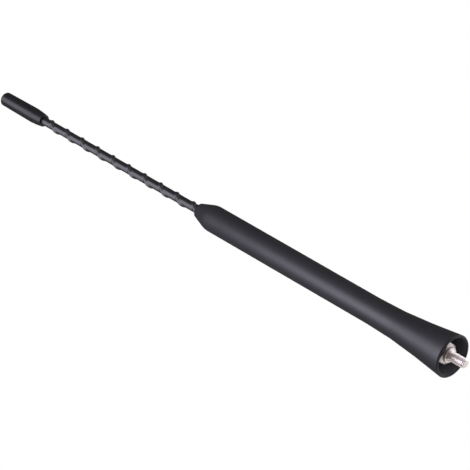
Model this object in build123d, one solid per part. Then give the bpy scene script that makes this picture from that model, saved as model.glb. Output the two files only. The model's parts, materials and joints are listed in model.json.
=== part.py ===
from build123d import *
import os
from math import cos, pi, radians, tan

# Car mast aerial. Z runs up the mast, and Z = 0 is the plane of the boot's rim, which meets the roof base.
# All sizes are in millimetres.

# Boot, handle and nose, moulded in one
rim_dia = 18.2
rim_chamfer = 0.4
skirt_wall = 1.15
recess_depth = 7.5
flare_height = 28.9
flare_blend = 230.0
handle_dia = 11.36
shoulder_height = 136.9
shoulder_blend = 10.0
nose_length = 8.4
nose_dia = 6.1
nose_chamfer = 0.5
sheath_seat_depth = 17.3
sheath_seat_floor = 4.0

# Stud, turned from hexagonal bar
thread_dia = 4.0
stud_reach = 6.6
stud_chamfer = 0.5
hex_across_flats = 8.5
hex_turn = 30.0
hex_face_dia = 7.9
hex_chamfer_angle = 30.0
hex_face_inset = 2.1
hex_pocket_depth = 2.0
collar_dia = 6.5
collar_inset = 1.3
cone_height = 1.0
shank_dia = 7.6
shank_length = 14.5
rod_socket_depth = 12.0

# Whip: the sheath with its helical rib, and the rod and wire inside it
rod_dia = 1.8
wire_dia = 0.4
sheath_dia = 3.64
exposed_whip = 104.4
rib_pitch = 10.55
rib_height = 0.5
rib_foot_width = 2.2
rib_crest_width = 0.8
rib_sink = 0.15
rib_angle_at_nose = -148.0

# Tip cap
cap_length = 27.9
cap_mouth_dia = 5.5
cap_widest_dia = 6.86
cap_widest_rise = 6.3
cap_end_dia = 6.15
cap_end_chamfer = 0.4
cap_socket_depth = 12.2

# Loading coil and its former
former_foot = 1.5
former_head = 3.0
former_barrel_dia = 5.2
coil_wire_dia = 0.5
coil_enamel = 0.02
coil_margin = 2.0
lead_angle = 90.0

# Clearances, each on a radius or at one end
bond_gap = 0.03
slide_gap = 0.1
end_gap = 0.2
wire_gap = 0.02

# Heights and radii that follow from the sizes above
flare_slope = (rim_dia - handle_dia) / 2 / flare_height
nose_top = shoulder_height + nose_length
hex_top = recess_depth + hex_pocket_depth
shank_top = hex_top + shank_length
rod_bottom = shank_top - rod_socket_depth
sheath_bottom = nose_top - sheath_seat_depth
chamber_top = sheath_bottom - sheath_seat_floor
cap_bottom = nose_top + exposed_whip
sheath_top = cap_bottom + cap_socket_depth - end_gap
wire_radius = rod_dia / 2 + wire_gap + wire_dia / 2
wire_way = wire_radius + wire_dia / 2 + bond_gap
former_top = chamber_top - former_head
tail_level = chamber_top - former_head / 2
coil_radius = former_barrel_dia / 2 + wire_gap + coil_wire_dia / 2
lead_dia = coil_wire_dia - 2 * coil_enamel

upward = (Align.CENTER, Align.CENTER, Align.MIN)
outward = (Align.MIN, Align.CENTER, Align.MIN)


def turned(points, blends=0):
    outline = FilletPolyline(*[(r, 0, z) for r, z in points], radius=blends, close=True)
    return revolve(make_face(outline), Axis.Z)


def rod_between(dia, bottom, top):
    return Pos(0, 0, bottom) * Cylinder(dia / 2, top - bottom, align=upward)


def hex_bar(across_flats, bottom, top):
    section = RegularPolygon(across_flats / 2, 6, major_radius=False, rotation=hex_turn)
    return Pos(0, 0, bottom) * extrude(section, top - bottom)


def at_lead(shape, radius=0.0):
    return Rot(0, 0, lead_angle) * Pos(radius, 0, 0) * shape


def make_base_sleeve():
    rim_radius = rim_dia / 2
    mouth_radius = rim_radius - skirt_wall
    floor_radius = mouth_radius - recess_depth * flare_slope
    bore_radius = shank_dia / 2 + bond_gap
    seat_radius = sheath_dia / 2 + bond_gap
    nose_slope = (handle_dia - nose_dia) / 2 / nose_length
    outline = {
        (rim_radius - rim_chamfer, 0): 0,
        (rim_radius - rim_chamfer * flare_slope, rim_chamfer): 0,
        (handle_dia / 2, flare_height): flare_blend,
        (handle_dia / 2, shoulder_height): shoulder_blend,
        (nose_dia / 2 + nose_chamfer * nose_slope, nose_top - nose_chamfer): 0,
        (nose_dia / 2 - nose_chamfer, nose_top): 0,
        (seat_radius, nose_top): 0,
        (seat_radius, sheath_bottom): 0,
        (wire_way, sheath_bottom): 0,
        (wire_way, chamber_top): 0,
        (bore_radius, chamber_top): 0,
        (bore_radius, recess_depth): 0,
        (floor_radius, recess_depth): 0,
        (mouth_radius, 0): 0,
    }
    pocket = hex_bar(hex_across_flats + 2 * bond_gap, recess_depth, hex_top)
    return turned(outline.keys(), outline.values()) - pocket


def make_mount_stud():
    thread_radius = thread_dia / 2
    stem = turned(
        [
            (0, -stud_reach),
            (thread_radius - stud_chamfer, -stud_reach),
            (thread_radius, stud_chamfer - stud_reach),
            (thread_radius, collar_inset - cone_height),
            (collar_dia / 2, collar_inset),
            (collar_dia / 2, hex_top),
            (shank_dia / 2, hex_top),
            (shank_dia / 2, shank_top),
            (0, shank_top),
        ]
    )
    corner_radius = hex_across_flats / 2 / cos(pi / 6)
    chamfer_rise = (corner_radius - hex_face_dia / 2) * tan(radians(hex_chamfer_angle))
    chamfered = turned(
        [
            (0, hex_face_inset),
            (hex_face_dia / 2, hex_face_inset),
            (corner_radius, hex_face_inset + chamfer_rise),
            (corner_radius, hex_top),
            (0, hex_top),
        ]
    )
    head = hex_bar(hex_across_flats, hex_face_inset, hex_top) & chamfered
    rod_socket = rod_between(rod_dia + 2 * bond_gap, rod_bottom, shank_top)
    return stem + head - rod_socket


def make_core_rod():
    return rod_between(rod_dia, rod_bottom, sheath_top)


def make_coil_former():
    flange_radius = shank_dia / 2 - slide_gap
    barrel_radius = former_barrel_dia / 2
    rod_way = rod_dia / 2 + bond_gap
    body = turned(
        [
            (rod_way, shank_top),
            (flange_radius, shank_top),
            (flange_radius, shank_top + former_foot),
            (barrel_radius, shank_top + former_foot),
            (barrel_radius, former_top),
            (flange_radius, former_top),
            (flange_radius, chamber_top),
            (rod_way, chamber_top),
        ]
    )
    slot_width = coil_wire_dia + 2 * slide_gap
    foot_slot = Box(flange_radius, slot_width, former_top, align=outward)
    head_slot = Box(flange_radius, slot_width, former_head, align=outward)
    return body - at_lead(foot_slot, barrel_radius) - at_lead(Pos(0, 0, former_top) * head_slot)


def make_loading_coil():
    bottom = shank_top + former_foot + coil_margin
    top = former_top - coil_margin
    winding = rod_between(2 * coil_radius + coil_wire_dia, bottom, top)
    winding -= rod_between(2 * coil_radius - coil_wire_dia, bottom, top)
    lower_lead = rod_between(lead_dia, shank_top, bottom)
    upper_lead = rod_between(lead_dia, top, tail_level + wire_dia)
    return winding + at_lead(lower_lead, coil_radius) + at_lead(upper_lead, coil_radius)


def make_radiator_wire():
    run = rod_between(wire_dia, tail_level - wire_dia / 2, sheath_top)
    tail_end = coil_radius - lead_dia / 2 - wire_gap
    tail = Rot(0, 90, 0) * rod_between(wire_dia, wire_radius, tail_end)
    return at_lead(run, wire_radius) + at_lead(Pos(0, 0, tail_level) * tail)


def make_whip_sheath():
    core_radius = sheath_dia / 2
    core = turned(
        [
            (wire_way, sheath_bottom),
            (core_radius, sheath_bottom),
            (core_radius, sheath_top),
            (wire_way, sheath_top),
        ]
    )
    run_on = rib_foot_width
    flank_slope = (rib_foot_width - rib_crest_width) / 2 / rib_height
    root_half_width = rib_foot_width / 2 + rib_sink * flank_slope
    section = Polyline(
        (core_radius - rib_sink, -root_half_width),
        (core_radius + rib_height, -rib_crest_width / 2),
        (core_radius + rib_height, rib_crest_width / 2),
        (core_radius - rib_sink, root_half_width),
        close=True,
    )
    path = Helix(rib_pitch, exposed_whip + 2 * run_on, core_radius)
    rib = sweep(Plane.XZ * make_face(section), path=path, is_frenet=True)
    start_angle = rib_angle_at_nose - 360 * run_on / rib_pitch
    shown = rod_between(sheath_dia + 4 * rib_height, nose_top + bond_gap, cap_bottom - bond_gap)
    return core + (Pos(0, 0, nose_top - run_on) * Rot(0, 0, start_angle) * rib & shown)


def make_tip_cap():
    socket_radius = sheath_dia / 2 + bond_gap
    socket_top = cap_bottom + cap_socket_depth
    cap_top = cap_bottom + cap_length
    return turned(
        [
            (socket_radius, cap_bottom),
            (cap_mouth_dia / 2, cap_bottom),
            (cap_widest_dia / 2, cap_bottom + cap_widest_rise),
            (cap_end_dia / 2, cap_top - cap_end_chamfer),
            (cap_end_dia / 2 - cap_end_chamfer, cap_top),
            (0, cap_top),
            (0, socket_top),
            (socket_radius, socket_top),
        ]
    )


pieces = {
    "base_sleeve": make_base_sleeve,
    "mount_stud": make_mount_stud,
    "core_rod": make_core_rod,
    "coil_former": make_coil_former,
    "loading_coil": make_loading_coil,
    "radiator_wire": make_radiator_wire,
    "whip_sheath": make_whip_sheath,
    "tip_cap": make_tip_cap,
}

os.makedirs("parts", exist_ok=True)
for name, make in pieces.items():
    export_step(make(), f"parts/{name}.step")
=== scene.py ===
import bpy
import bmesh
import json
import math
from mathutils import Matrix, Vector

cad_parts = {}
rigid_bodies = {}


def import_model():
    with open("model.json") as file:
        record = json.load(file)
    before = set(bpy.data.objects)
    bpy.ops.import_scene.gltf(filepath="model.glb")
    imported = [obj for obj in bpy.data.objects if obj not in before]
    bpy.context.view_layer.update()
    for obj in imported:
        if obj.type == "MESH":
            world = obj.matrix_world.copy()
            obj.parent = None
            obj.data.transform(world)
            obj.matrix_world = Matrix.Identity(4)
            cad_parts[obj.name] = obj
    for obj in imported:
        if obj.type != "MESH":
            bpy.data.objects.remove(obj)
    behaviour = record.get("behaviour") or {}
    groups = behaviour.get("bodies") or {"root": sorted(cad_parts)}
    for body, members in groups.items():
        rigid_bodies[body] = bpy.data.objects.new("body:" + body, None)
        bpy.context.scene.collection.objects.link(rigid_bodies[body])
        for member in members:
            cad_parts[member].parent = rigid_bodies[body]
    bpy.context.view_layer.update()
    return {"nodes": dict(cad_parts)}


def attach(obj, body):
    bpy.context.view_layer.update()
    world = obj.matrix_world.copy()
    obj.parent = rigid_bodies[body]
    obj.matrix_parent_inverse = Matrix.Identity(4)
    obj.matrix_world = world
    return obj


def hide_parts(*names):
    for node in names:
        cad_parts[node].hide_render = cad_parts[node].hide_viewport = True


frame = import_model()
mm = 0.001  # piece sizes are in millimetres, and those times mm in metres
root = "root"
print("frame:", len(frame["nodes"]), "nodes")

# camera, from where the picture was taken
viewpoint = {
    "place": (0.0, -0.745932, -0.475224),
    "aim": (-0.0014, 0.0, 0.12179),
    "up": (0.866081, -0.311381, 0.391083),
    "lens": 176.91,
    "sensor": 36.0,
    "nearest": 0.01,
}


def facing(place, aim, up):
    back = (Vector(place) - Vector(aim)).normalized()
    right = Vector(up).cross(back).normalized()
    turn = Matrix((right, back.cross(right), back)).transposed().to_4x4()
    return Matrix.Translation(place) @ turn


def addCamera(v):
    lensData = bpy.data.cameras.new("photoCamera")
    lensData.lens = v["lens"]
    lensData.sensor_width = v["sensor"]
    lensData.clip_start = v["nearest"]
    camera = bpy.data.objects.new("photoCamera", lensData)
    bpy.context.scene.collection.objects.link(camera)
    camera.matrix_world = facing(v["place"], v["aim"], v["up"])
    bpy.context.scene.camera = camera


addCamera(viewpoint)
print("camera placed")

# node helpers


def addNode(tree, kind, inputs=None, **settings):
    node = tree.nodes.new(kind)
    for key, value in settings.items():
        setattr(node, key, value)
    for key, value in (inputs or {}).items():
        if isinstance(value, bpy.types.NodeSocket):
            tree.links.new(value, node.inputs[key])
        else:
            node.inputs[key].default_value = value
    return node


def calc(tree, operation, *values, clamp=False):
    inputs = dict(enumerate(values))
    kind = "ShaderNodeMath"
    return addNode(tree, kind, inputs, operation=operation, use_clamp=clamp).outputs[0]


def newMaterial(name):
    material = bpy.data.materials.new(name)
    material.use_nodes = True
    tree = material.node_tree
    shader = next(n for n in tree.nodes if n.type == "BSDF_PRINCIPLED")
    place = addNode(tree, "ShaderNodeTexCoord").outputs["Object"]
    return material, tree, shader, place


def speckle(tree, place, scale, detail=2.0, roughness=0.5):
    inputs = {"Vector": place, "Scale": scale, "Detail": detail, "Roughness": roughness}
    return addNode(tree, "ShaderNodeTexNoise", inputs).outputs["Fac"]


noiseSpan = (0.3, 0.7)  # where most of a noise's values lie


def ramp(tree, factor, low, high):
    inputs = {
        "Value": factor,
        "From Min": noiseSpan[0],
        "From Max": noiseSpan[1],
        "To Min": low,
        "To Max": high,
    }
    return addNode(tree, "ShaderNodeMapRange", inputs).outputs["Result"]


def blendColour(tree, factor, first, second):
    node = addNode(tree, "ShaderNodeMix", {"Factor": factor}, data_type="RGBA")
    ends = [socket for socket in node.inputs if socket.type == "RGBA"]
    for socket, colour in zip(ends, (first, second)):
        if isinstance(colour, bpy.types.NodeSocket):
            tree.links.new(colour, socket)
        else:
            socket.default_value = (*colour, 1.0)
    return next(socket for socket in node.outputs if socket.type == "RGBA")


def bumpUp(tree, shader, height, strength, depth):
    inputs = {"Height": height, "Strength": strength, "Distance": depth}
    node = addNode(tree, "ShaderNodeBump", inputs)
    tree.links.new(node.outputs["Normal"], shader.inputs["Normal"])


# finishes


def recessPaintedLightMask(tree, place, v):
    # 1 on the recess's wall and ceiling, 0 elsewhere: where painted light brightens the recess
    level = {0: place, 1: (1.0, 1.0, 0.0)}
    flat = addNode(tree, "ShaderNodeVectorMath", level, operation="MULTIPLY").outputs[0]
    reach = addNode(tree, "ShaderNodeVectorMath", {0: flat}, operation="LENGTH")
    up = addNode(tree, "ShaderNodeSeparateXYZ", {"Vector": place}).outputs["Z"]
    middle = calc(tree, "MULTIPLY_ADD", up, -v["slope"], v["middle"])  # halfway through the skirt
    within = calc(tree, "LESS_THAN", reach.outputs["Value"], middle)
    beside = calc(tree, "COMPARE", up, v["height"], v["halfHeight"])
    return calc(tree, "MULTIPLY", within, beside)


def mouldedPlastic(name, v):
    material, tree, shader, place = newMaterial(name)
    cloud = speckle(tree, place, v["cloudScale"], detail=3.0)
    grain = speckle(tree, place, v["grainScale"], roughness=0.6)
    colour = blendColour(tree, ramp(tree, cloud, 0.0, 1.0), v["dark"], v["light"])
    # painted light: the recess's wall and ceiling get a lighter grey in place of light reaching
    # into the recess
    if "recess" in v:
        within = recessPaintedLightMask(tree, place, v["recess"])
        colour = blendColour(tree, within, colour, v["recess"]["colour"])
    tree.links.new(colour, shader.inputs["Base Color"])
    tree.links.new(ramp(tree, grain, *v["roughness"]), shader.inputs["Roughness"])
    shader.inputs["IOR"].default_value = v["ior"]
    bumpUp(tree, shader, grain, v["grainStrength"], v["grainDepth"])
    return material


def bandedMetal(name, v):
    # turning marks or turns of wire, as fine bands round the mast's axis
    material, tree, shader, place = newMaterial(name)
    cloud = speckle(tree, place, v["cloudScale"], v["cloudDetail"])
    inputs = {"Vector": place, "Scale": v["bandScale"], "Distortion": v["bandWarp"]}
    bands = addNode(tree, "ShaderNodeTexWave", inputs, bands_direction="Z").outputs["Fac"]
    colour = blendColour(tree, ramp(tree, cloud, 0.0, 1.0), v["dark"], v["light"])
    tree.links.new(colour, shader.inputs["Base Color"])
    tree.links.new(ramp(tree, cloud, *v["roughness"]), shader.inputs["Roughness"])
    shader.inputs["Metallic"].default_value = 1.0
    bumpUp(tree, shader, bands, v["bandStrength"], v["bandDepth"])
    return material


# turned and moulded shapes, made of rings round the mast's axis
ringSegments = 96
mergeDistance = 0.0001 * mm
seamDistance = 0.001 * mm


def roundRing(radius, height):
    steps = (math.tau * k / ringSegments for k in range(ringSegments))
    return [Vector((radius * math.cos(a), radius * math.sin(a), height)) for a in steps]


def hexRadius(acrossFlats, angle):
    # flats face along X
    side = math.pi / 3
    return acrossFlats / 2 / math.cos((angle + side / 2) % side - side / 2)


def hexRing(acrossFlats, height):
    ring = roundRing(1.0, height)
    for k, point in enumerate(ring):
        radius = hexRadius(acrossFlats, math.tau * k / ringSegments)
        point.x *= radius
        point.y *= radius
    return ring


def cutFlats(ring, half):
    # two flats across the ring, facing along Y
    for point in ring:
        if abs(point.y) > half:
            point.xy = point.xy * half / abs(point.y)
    return ring


def chamferRing(ring, faceRadius, slope):
    for point in ring:
        point.z += max(0.0, point.xy.length - faceRadius) * slope
    return ring


def roundedPath(corners, arcStep=math.radians(6), longestRun=3.0):
    # corners are (radius, height, blend); each blend is an arc tangent to its two runs
    path = []
    for k, (r, z, blend) in enumerate(corners):
        here = Vector((r, z))
        if not blend or k in (0, len(corners) - 1):
            path.append(here)
            continue
        toLast = (Vector(corners[k - 1][:2]) - here).normalized()
        toNext = (Vector(corners[k + 1][:2]) - here).normalized()
        half = toLast.angle(toNext) / 2
        centre = here + (toLast + toNext).normalized() * blend / math.sin(half)
        start = here + toLast * blend / math.tan(half) - centre
        sweep = math.pi - 2 * half
        if start.cross(toLast) > 0:
            sweep = -sweep
        count = max(2, math.ceil(abs(sweep) / arcStep))
        for n in range(count + 1):
            path.append(centre + Matrix.Rotation(sweep * n / count, 2) @ start)
    filled = [path[0]]
    for a, b in zip(path, path[1:]):
        pieces = max(1, math.ceil((b - a).length / longestRun))
        filled += [a.lerp(b, n / pieces) for n in range(1, pieces + 1)]
    return filled


def ringsAlong(corners, **finer):
    return [roundRing(p.x, p.y) for p in roundedPath(corners, **finer)]


def skinRings(rings, closed=False):
    shape = bmesh.new()
    rows = [[shape.verts.new(p * mm) for p in ring] for ring in rings]
    if closed:
        rows.append(rows[0])
    for low, high in zip(rows, rows[1:]):
        for k in range(ringSegments):
            after = (k + 1) % ringSegments
            shape.faces.new((low[k], low[after], high[after], high[k]))
    return shape


def addShape(shape, other):
    spare = bpy.data.meshes.new("spare")
    other.to_mesh(spare)
    other.free()
    shape.from_mesh(spare)
    bpy.data.meshes.remove(spare)


def settle(shape, name, material, sharpAngle=40):
    bmesh.ops.remove_doubles(shape, verts=shape.verts, dist=mergeDistance)
    bmesh.ops.recalc_face_normals(shape, faces=shape.faces)
    mesh = bpy.data.meshes.new(name)
    shape.to_mesh(mesh)
    shape.free()
    mesh.polygons.foreach_set("use_smooth", [True] * len(mesh.polygons))
    mesh.set_sharp_from_angle(angle=math.radians(sharpAngle))
    mesh.materials.append(material)
    piece = bpy.data.objects.new(name, mesh)
    bpy.context.scene.collection.objects.link(piece)
    return piece


def standFor(piece, node):
    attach(piece, root)
    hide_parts(node)
    print(piece.name, "made:", len(piece.data.polygons), "faces")


# sleeve with a helical ridge, for the whip's rib and the stud's thread


def ridgedSleeveTree(sizes):
    tree = bpy.data.node_groups.new("ridgedSleeve", "GeometryNodeTree")
    tree.interface.new_socket("Geometry", in_out="INPUT", socket_type="NodeSocketGeometry")
    tree.interface.new_socket("Geometry", in_out="OUTPUT", socket_type="NodeSocketGeometry")
    kinds = {int: "NodeSocketInt", float: "NodeSocketFloat"}
    for label, value in sizes.items():
        tree.interface.new_socket(label, in_out="INPUT", socket_type=kinds[type(value)])
    tree.interface.new_socket("finish", in_out="INPUT", socket_type="NodeSocketMaterial")
    given = addNode(tree, "NodeGroupInput").outputs

    # a hollow sleeve's grid has three more rows: in to the bore, down it and out to the foot
    boreRows = 3.0
    gridSize = 1.0
    rows = calc(tree, "MULTIPLY_ADD", given["hollow"], boreRows, given["rows"])
    gridInputs = {
        "Size X": gridSize,
        "Size Y": gridSize,
        "Vertices X": calc(tree, "ADD", given["columns"], 1.0),
        "Vertices Y": calc(tree, "ADD", rows, 1.0),
    }
    grid = addNode(tree, "GeometryNodeMeshGrid", gridInputs).outputs["Mesh"]
    spot = addNode(tree, "GeometryNodeInputPosition").outputs["Position"]
    across = addNode(tree, "ShaderNodeSeparateXYZ", {"Vector": spot}).outputs
    turnShare = calc(tree, "ADD", across["X"], gridSize / 2)
    row = calc(tree, "MULTIPLY", calc(tree, "ADD", across["Y"], gridSize / 2), rows)
    upShare = calc(tree, "DIVIDE", row, given["rows"], clamp=True)
    pastTop = calc(tree, "SUBTRACT", row, given["rows"])
    fromMiddle = calc(tree, "SUBTRACT", pastTop, boreRows / 2)
    inBore = calc(tree, "LESS_THAN", calc(tree, "ABSOLUTE", fromMiddle), 1.0)
    backDown = calc(tree, "GREATER_THAN", fromMiddle, 0.0)
    upShare = calc(tree, "MULTIPLY", upShare, calc(tree, "SUBTRACT", 1.0, backDown))
    length = calc(tree, "SUBTRACT", given["top"], given["bottom"])
    height = calc(tree, "MULTIPLY_ADD", upShare, length, given["bottom"])

    # distance along the axis to the nearest crest of a right-hand helix
    pastCrest = calc(tree, "SUBTRACT", height, given["crestHeight"])
    crestTurn = calc(tree, "DIVIDE", pastCrest, given["pitch"])
    crestTurn = calc(tree, "SUBTRACT", crestTurn, turnShare)
    offset = calc(tree, "SUBTRACT", crestTurn, calc(tree, "ROUND", crestTurn))
    away = calc(tree, "MULTIPLY", calc(tree, "ABSOLUTE", offset), given["pitch"])
    ridgeInputs = {
        "Value": away,
        "From Min": calc(tree, "MULTIPLY", given["foot"], 0.5),
        "From Max": calc(tree, "MULTIPLY", given["crest"], 0.5),
        "To Min": 0.0,
        "To Max": given["ridge"],
    }
    ridge = addNode(tree, "ShaderNodeMapRange", ridgeInputs, interpolation_type="SMOOTHSTEP")
    fromStart = calc(tree, "SUBTRACT", height, given["ridgeStart"])
    toEnd = calc(tree, "SUBTRACT", given["ridgeEnd"], height)
    nearest = calc(tree, "MINIMUM", fromStart, toEnd)
    fade = calc(tree, "DIVIDE", nearest, given["fade"], clamp=True)
    raised = calc(tree, "MULTIPLY", ridge.outputs["Result"], fade)
    downShare = calc(tree, "SUBTRACT", 1.0, upShare)
    core = calc(tree, "MULTIPLY_ADD", downShare, given["taper"], given["core"])
    outer = calc(tree, "ADD", core, raised)
    keepOuter = calc(tree, "SUBTRACT", 1.0, inBore)
    radius = calc(tree, "MULTIPLY", inBore, given["bore"])
    radius = calc(tree, "MULTIPLY_ADD", outer, keepOuter, radius)
    angle = calc(tree, "MULTIPLY", turnShare, math.tau)
    placeInputs = {
        "X": calc(tree, "MULTIPLY", radius, calc(tree, "COSINE", angle)),
        "Y": calc(tree, "MULTIPLY", radius, calc(tree, "SINE", angle)),
        "Z": height,
    }
    place = addNode(tree, "ShaderNodeCombineXYZ", placeInputs).outputs["Vector"]
    bent = addNode(tree, "GeometryNodeSetPosition", {"Geometry": grid, "Position": place})
    seam = {"Geometry": bent.outputs[0], "Distance": seamDistance}
    joined = addNode(tree, "GeometryNodeMergeByDistance", seam)
    smooth = addNode(tree, "GeometryNodeSetShadeSmooth", {"Geometry": joined.outputs[0]})
    real = addNode(tree, "GeometryNodeRealizeInstances", {"Geometry": smooth.outputs[0]})
    coat = {"Geometry": real.outputs[0], "Material": given["finish"]}
    done = addNode(tree, "GeometryNodeSetMaterial", coat)
    addNode(tree, "NodeGroupOutput", {"Geometry": done.outputs[0]})
    return tree


def ridgedSleeve(name, sizes, material):
    tree = bpy.data.node_groups.get("ridgedSleeve") or ridgedSleeveTree(sizes)
    seed = bpy.data.objects.new(name + "Seed", bpy.data.meshes.new(name + "Seed"))
    bpy.context.scene.collection.objects.link(seed)
    modifier = seed.modifiers.new("sleeve", "NODES")
    modifier.node_group = tree
    for socket in tree.interface.items_tree:
        if socket.in_out == "INPUT" and socket.name in sizes:
            modifier[socket.identifier] = sizes[socket.name]
        elif socket.name == "finish":
            modifier[socket.identifier] = material
    graph = bpy.context.evaluated_depsgraph_get()
    mesh = bpy.data.meshes.new_from_object(seed.evaluated_get(graph))
    seed.modifiers.remove(modifier)
    bpy.data.objects.remove(seed)
    mesh.name = name
    return mesh


# boot, handle and nose
boot = {
    "rimRadius": 9.12,
    "rimEdge": 0.55,
    "skirtWall": 1.165,
    "mouthEdge": 0.25,
    "mouthLand": 0.325,  # from the mouth to where the rim's flat face starts
    "recessDepth": 7.5,
    "floorBlend": 0.6,
    "flareHeight": 28.9,
    "flareBlend": 230.0,
    "waistRadius": 5.65,
    "shoulderRadius": 5.76,
    "shoulderHeight": 136.9,
    "shoulderBlend": 10.0,
    "noseTop": 145.3,
    "noseRadius": 3.08,
    "noseChamfer": 0.6,
    "noseEdge": 0.12,
    "whipHole": 1.92,
    "whipSeat": 128.0,
    "wireHole": 1.35,
    "coilTop": 124.0,
    "coilRadius": 3.83,
    "hexPocket": 8.56,
    "hexTop": 9.5,
}
bootFinish = {
    "dark": (0.0125, 0.012, 0.0143),
    "light": (0.0172, 0.0165, 0.0192),
    "cloudScale": 60.0,
    "grainScale": 2600.0,
    "grainStrength": 0.12,
    "grainDepth": 0.04 * mm,
    "roughness": (0.48, 0.56),
    "ior": 1.42,
    # painted light: a lighter grey on the recess's wall and ceiling, standing in for light
    # reaching into it
    "recess": {
        "middle": 8.5 * mm,
        "slope": 0.12,
        "height": 3.9 * mm,
        "halfHeight": 3.7 * mm,
        "colour": (0.1, 0.098, 0.107),
    },
}


def makeBoot(v, finish):
    slope = (v["rimRadius"] - v["waistRadius"]) / v["flareHeight"]
    mouth = v["rimRadius"] - v["skirtWall"]
    noseSlope = (v["shoulderRadius"] - v["noseRadius"]) / (v["noseTop"] - v["shoulderHeight"])
    chamfer = v["noseChamfer"]
    outside = [
        (mouth + v["mouthLand"], 0.0, 0),
        (v["rimRadius"], 0.0, v["rimEdge"]),
        (v["waistRadius"], v["flareHeight"], v["flareBlend"]),
        (v["shoulderRadius"], v["shoulderHeight"], v["shoulderBlend"]),
        (v["noseRadius"] + chamfer * noseSlope, v["noseTop"] - chamfer, v["noseEdge"]),
        (v["noseRadius"] - chamfer, v["noseTop"], v["noseEdge"]),
        (v["whipHole"], v["noseTop"], 0),
    ]
    bore = [
        (v["whipHole"], v["whipSeat"], 0),
        (v["wireHole"], v["whipSeat"], 0),
        (v["wireHole"], v["coilTop"], 0),
        (v["coilRadius"], v["coilTop"], 0),
        (v["coilRadius"], v["hexTop"], 0),
    ]
    pocket = [hexRing(v["hexPocket"], v["hexTop"]), hexRing(v["hexPocket"], v["recessDepth"])]
    recess = [
        ((v["hexPocket"] / 2 + mouth) / 2, v["recessDepth"], 0),
        (mouth - v["recessDepth"] * slope, v["recessDepth"], v["floorBlend"]),
        (mouth, 0.0, v["mouthEdge"]),
        (mouth + v["mouthEdge"], 0.0, 0),
    ]
    rings = ringsAlong(outside)
    rings += ringsAlong(bore, longestRun=200.0) + pocket + ringsAlong(recess)
    material = mouldedPlastic("mouldedBoot", finish)
    piece = settle(skinRings(rings, closed=True), "bootMoulding", material)
    standFor(piece, "base_sleeve")


makeBoot(boot, bootFinish)

# whip sheath with its rib
whip = {
    "core": 1.82 * mm,
    "taper": 0.075 * mm,
    "ridge": 0.47 * mm,
    "pitch": 10.549 * mm,
    "foot": 3.3 * mm,
    "crest": 0.2 * mm,
    "crestHeight": 244.58 * mm,
    "bottom": 128.0 * mm,
    "top": 261.7 * mm,
    "ridgeStart": 145.3 * mm,
    "ridgeEnd": 249.4 * mm,
    "fade": 0.4 * mm,
    "bore": 1.35 * mm,
    "hollow": 1,
    "rows": 560,
    "columns": 64,
}
whipFinish = {
    "dark": (0.008, 0.008, 0.009),
    "light": (0.011, 0.011, 0.012),
    "cloudScale": 90.0,
    "grainScale": 3200.0,
    "grainStrength": 0.025,
    "grainDepth": 0.03 * mm,
    "roughness": (0.32, 0.37),
    "ior": 1.58,
}


def makeWhip(v, finish):
    material = mouldedPlastic("drawnSheath", finish)
    mesh = ridgedSleeve("whipSheath", v, material)
    piece = bpy.data.objects.new("whipSheath", mesh)
    bpy.context.scene.collection.objects.link(piece)
    standFor(piece, "whip_sheath")


makeWhip(whip, whipFinish)

# tip cap
cap = {
    "mouth": 249.4,
    "mouthRadius": 2.78,
    "mouthEdge": 0.1,
    "shoulderRise": 3.1,
    "shoulderRadius": 3.15,
    "shoulderBlend": 6.0,
    "widestRise": 6.8,
    "widestRadius": 3.43,
    "widestBlend": 18.0,
    "top": 277.6,
    "topRadius": 3.2,
    "topEdge": 0.9,
    "socketRadius": 1.85,
    "socketDepth": 12.2,
}
capFinish = {
    "dark": (0.006, 0.006, 0.007),
    "light": (0.008, 0.008, 0.009),
    "cloudScale": 80.0,
    "grainScale": 3000.0,
    "grainStrength": 0.015,
    "grainDepth": 0.03 * mm,
    "roughness": (0.34, 0.38),
    "ior": 1.4,
}


def makeCap(v, finish):
    mouth = v["mouth"]
    path = [
        (v["socketRadius"], mouth, 0),
        (v["mouthRadius"], mouth, v["mouthEdge"]),
        (v["shoulderRadius"], mouth + v["shoulderRise"], v["shoulderBlend"]),
        (v["widestRadius"], mouth + v["widestRise"], v["widestBlend"]),
        (v["topRadius"], v["top"], v["topEdge"]),
        (0.0, v["top"], 0),
    ]
    socket = [
        (0.0, mouth + v["socketDepth"], 0),
        (v["socketRadius"], mouth + v["socketDepth"], 0),
        (v["socketRadius"], mouth, 0),
    ]
    shape = skinRings(ringsAlong(path, longestRun=1.5))
    addShape(shape, skinRings(ringsAlong(socket)))
    piece = settle(shape, "tipCap", mouldedPlastic("mouldedCap", finish))
    standFor(piece, "tip_cap")


makeCap(cap, capFinish)

# stud
thread = {
    "core": 1.62 * mm,
    "taper": 0.0,
    "ridge": 0.37 * mm,
    "pitch": 0.7 * mm,
    "foot": 0.6 * mm,
    "crest": 0.08 * mm,
    "crestHeight": 0.0,
    "bottom": -6.48 * mm,
    "top": 0.3 * mm,
    "ridgeStart": -6.48 * mm,
    "ridgeEnd": 0.15 * mm,
    "fade": 0.5 * mm,
    "bore": 0.0,
    "hollow": 0,
    "rows": 120,
    "columns": ringSegments,
}
stud = {
    "endEdge": 0.12,
    "coneRadius": 2.55,
    "collarRadius": 3.25,
    "collarFace": 1.3,
    "collarEdge": 0.12,
    "relief": 0.05,
    "reliefRadius": 3.35,
    "hexFace": 2.1,
    "hexFaceRadius": 3.45,
    "acrossFlats": 8.5,
    "chamferSlope": math.tan(math.radians(30)),
    "flatHalf": 3.45,
    "flatBack": 4.0,
    "hexTop": 9.5,
    "shankRadius": 3.8,
    "shankTop": 24.0,
    "socketRadius": 0.93,
    "socketFloor": 12.0,
    "sharpAngle": 35,
}
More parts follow.
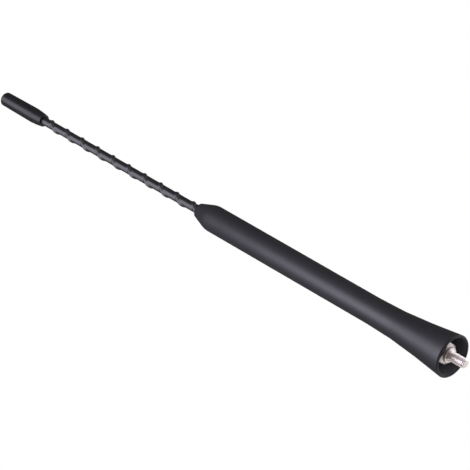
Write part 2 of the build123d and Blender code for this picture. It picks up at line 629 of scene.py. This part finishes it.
studFinish = {
    "dark": (0.84, 0.78, 0.765),
    "light": (0.97, 0.905, 0.885),
    "cloudScale": 700.0,
    "cloudDetail": 3.0,
    "bandScale": 1500.0,
    "bandWarp": 1.5,
    "bandStrength": 0.05,
    "bandDepth": 0.03 * mm,
    "roughness": (0.42, 0.48),
}


def makeStud(v, threadSizes, finish):
    material = bandedMetal("nickelPlate", finish)
    coreRadius = threadSizes["core"] / mm
    bottom = threadSizes["bottom"] / mm
    neck = threadSizes["top"] / mm
    tip = [
        (0.0, bottom - v["endEdge"], 0),
        (coreRadius - v["endEdge"], bottom - v["endEdge"], 0),
        (coreRadius, bottom, 0),
    ]
    shoulder = [
        (coreRadius, neck, 0),
        (v["coneRadius"], v["collarFace"], 0),
        (v["collarRadius"] - v["collarEdge"], v["collarFace"], 0),
        (v["collarRadius"], v["collarFace"] + v["collarEdge"], 0),
        (v["collarRadius"], v["hexFace"] + v["relief"], 0),
        (v["reliefRadius"], v["hexFace"], 0),
        (v["hexFaceRadius"], v["hexFace"], 0),
    ]
    shank = [
        (v["shankRadius"], v["hexTop"], 0),
        (v["shankRadius"], v["shankTop"], 0),
        (v["socketRadius"], v["shankTop"], 0),
        (v["socketRadius"], v["socketFloor"], 0),
        (0.0, v["socketFloor"], 0),
    ]
    # the hexagon's front has two flats across it, as deep as flatBack
    front = cutFlats(hexRing(v["acrossFlats"], v["hexFace"]), v["flatHalf"])
    flats = [
        chamferRing(front, v["hexFaceRadius"], v["chamferSlope"]),
        cutFlats(hexRing(v["acrossFlats"], v["flatBack"]), v["flatHalf"]),
        hexRing(v["acrossFlats"], v["flatBack"]),
        hexRing(v["acrossFlats"], v["hexTop"]),
    ]
    shape = skinRings(ringsAlong(shoulder) + flats + ringsAlong(shank, longestRun=50.0))
    addShape(shape, skinRings(ringsAlong(tip)))
    sleeve = ridgedSleeve("studThread", threadSizes, material)
    shape.from_mesh(sleeve)
    bpy.data.meshes.remove(sleeve)
    piece = settle(shape, "threadedStud", material, v["sharpAngle"])
    standFor(piece, "mount_stud")


makeStud(stud, thread, studFinish)

# pieces inside the handle and whip, which keep their solids
rodFinish = {
    "dark": (0.5, 0.47, 0.33),
    "light": (0.62, 0.6, 0.46),
    "cloudScale": 400.0,
    "grainScale": 3000.0,
    "grainStrength": 0.1,
    "grainDepth": 0.03 * mm,
    "roughness": (0.35, 0.5),
    "ior": 1.5,
}
formerFinish = {
    "dark": (0.7, 0.69, 0.65),
    "light": (0.78, 0.77, 0.74),
    "cloudScale": 150.0,
    "grainScale": 2500.0,
    "grainStrength": 0.08,
    "grainDepth": 0.03 * mm,
    "roughness": (0.4, 0.5),
    "ior": 1.5,
}
copperFinish = {
    "dark": (0.5, 0.2, 0.09),
    "light": (0.64, 0.3, 0.15),
    "cloudScale": 300.0,
    "cloudDetail": 2.0,
    "bandScale": 630.0,
    "bandWarp": 0.0,
    "bandStrength": 0.6,
    "bandDepth": 0.2 * mm,
    "roughness": (0.22, 0.32),
}


def dressInside():
    copper = bandedMetal("enamelledCopper", copperFinish)
    inside = {
        "core_rod": mouldedPlastic("glassFibreRod", rodFinish),
        "coil_former": mouldedPlastic("naturalPlastic", formerFinish),
        "loading_coil": copper,
        "radiator_wire": copper,
    }
    for node, material in inside.items():
        frame["nodes"][node].data.materials.clear()
        frame["nodes"][node].data.materials.append(material)
    print("inner pieces finished:", len(inside))


dressInside()

# floor, light and background
studio = {
    "floorHeight": -1.2,
    "floorSize": 12.0,
    "floorColour": (0.8, 0.8, 0.8),
    "floorRoughness": 0.9,
    "fill": 0.35,
    "white": 1.0,
    "whiteColour": (1.0, 1.0, 1.0),
    "overhead": 0.12,
    "overheadFrom": 0.0,
    "overheadTo": 0.4,
    "roomEdge": (0.4, 1.4),
    "roomColour": (0.14, 0.11, 0.1),
}
lamps = {
    "bootBox": {
        "place": (-0.094, -0.222, 0.155),
        "aim": (0.0, 0.0, 0.0),
        "size": (0.22, 0.08),
        "power": 1.1,
        "keptOff": ("whipSheath", "threadedStud"),
    },
    "whipBox": {
        "place": (-0.29, -0.61, 1.2),
        "aim": (0.0, 0.0, 1.2),
        "size": (0.8, 2.6),
        "power": 19.2,
        "keptOff": ("bootMoulding",),
    },
    "ribBox": {
        "place": (-0.638, -0.22, 1.2),
        "aim": (0.0, 0.0, 1.2),
        "size": (0.37, 2.6),
        "power": 5.8,
        "keptOff": ("bootMoulding", "tipCap", "threadedStud"),
    },
    "backBox": {
        "place": (0.8, 0.9, -0.1),
        "aim": (0.0, 0.0, 0.12),
        "size": (0.6, 0.6),
        "power": 3.0,
        "keptOff": (),
    },
    "mouthBox": {
        "place": (0.3, 0.05, -0.22),
        "aim": (0.0, 0.0, 0.0),
        "size": (0.24, 0.24),
        "power": 0.22,
        "keptOff": (),
    },
}
lampColour = (0.985, 0.955, 1.1)


def seenShare(tree):
    path = addNode(tree, "ShaderNodeLightPath").outputs
    mirrored = calc(tree, "MAXIMUM", path["Is Glossy Ray"], path["Is Transmission Ray"])
    return path["Is Camera Ray"], mirrored


def between(tree, share, first, second):
    inputs = {"Value": share, "To Min": first, "To Max": second}
    return addNode(tree, "ShaderNodeMapRange", inputs).outputs["Result"]


def addFloor(v):
    mesh = bpy.data.meshes.new("paleFloor")
    half = v["floorSize"] / 2
    corners = [(-half, -half), (half, -half), (half, half), (-half, half)]
    mesh.from_pydata([(x, y, v["floorHeight"]) for x, y in corners], [], [(0, 1, 2, 3)])
    floor = bpy.data.objects.new("paleFloor", mesh)
    bpy.context.scene.collection.objects.link(floor)
    material, tree, shader, place = newMaterial("paleFloor")
    mesh.materials.append(material)
    shader.inputs["Base Color"].default_value = (*v["floorColour"], 1.0)
    shader.inputs["Roughness"].default_value = v["floorRoughness"]
    inView, mirrored = seenShare(tree)
    # mirrored, the floor is a dark room on the camera's side and clear behind the mast
    room = {
        "Value": addNode(tree, "ShaderNodeSeparateXYZ", {"Vector": place}).outputs["Y"],
        "From Min": v["roomEdge"][0],
        "From Max": v["roomEdge"][1],
    }
    clear = addNode(tree, "ShaderNodeMapRange", room, interpolation_type="SMOOTHSTEP")
    pale = calc(tree, "MAXIMUM", clear.outputs["Result"], inView)
    shown = blendColour(tree, pale, v["roomColour"], v["whiteColour"])
    glow = addNode(tree, "ShaderNodeEmission", {"Color": shown, "Strength": v["white"]})
    mix = addNode(tree, "ShaderNodeMixShader", {"Fac": calc(tree, "MAXIMUM", inView, mirrored)})
    tree.links.new(shader.outputs[0], mix.inputs[1])
    tree.links.new(glow.outputs[0], mix.inputs[2])
    output = next(n for n in tree.nodes if n.type == "OUTPUT_MATERIAL")
    tree.links.new(mix.outputs[0], output.inputs["Surface"])


def addSky(v):
    world = bpy.data.worlds.new("whiteStudio")
    world.use_nodes = True
    bpy.context.scene.world = world
    sky = world.node_tree
    background = next(n for n in sky.nodes if n.type == "BACKGROUND")
    background.inputs["Color"].default_value = (*v["whiteColour"], 1.0)
    toward = addNode(sky, "ShaderNodeTexCoord").outputs["Generated"]
    up = addNode(sky, "ShaderNodeSeparateXYZ", {"Vector": toward}).outputs["Z"]
    dimming = {
        "Value": up,
        "From Min": v["overheadFrom"],
        "From Max": v["overheadTo"],
        "To Min": v["white"],
        "To Max": v["overhead"],
    }
    dimmed = addNode(sky, "ShaderNodeMapRange", dimming, interpolation_type="SMOOTHSTEP")
    inView, mirrored = seenShare(sky)
    strength = between(sky, mirrored, v["fill"], dimmed.outputs["Result"])
    strength = between(sky, inView, strength, v["white"])
    sky.links.new(strength, background.inputs["Strength"])
    bpy.context.scene.view_settings.view_transform = "Standard"


def addLamps():
    for name, v in lamps.items():
        data = bpy.data.lights.new(name, "AREA")
        data.shape = "RECTANGLE"
        data.size, data.size_y = v["size"]
        data.energy = v["power"]
        data.color = lampColour
        lamp = bpy.data.objects.new(name, data)
        bpy.context.scene.collection.objects.link(lamp)
        lamp.matrix_world = facing(v["place"], v["aim"], (0, 0, 1))
        lamp.visible_camera = False
        if v["keptOff"]:
            keptOff = bpy.data.collections.new(name + "KeptOff")
            for k, piece in enumerate(v["keptOff"]):
                keptOff.objects.link(bpy.data.objects[piece])
                keptOff.collection_objects[k].light_linking.link_state = "EXCLUDE"
            lamp.light_linking.receiver_collection = keptOff


addFloor(studio)
addSky(studio)
addLamps()
print("studio lit by", len(lamps), "lamps")
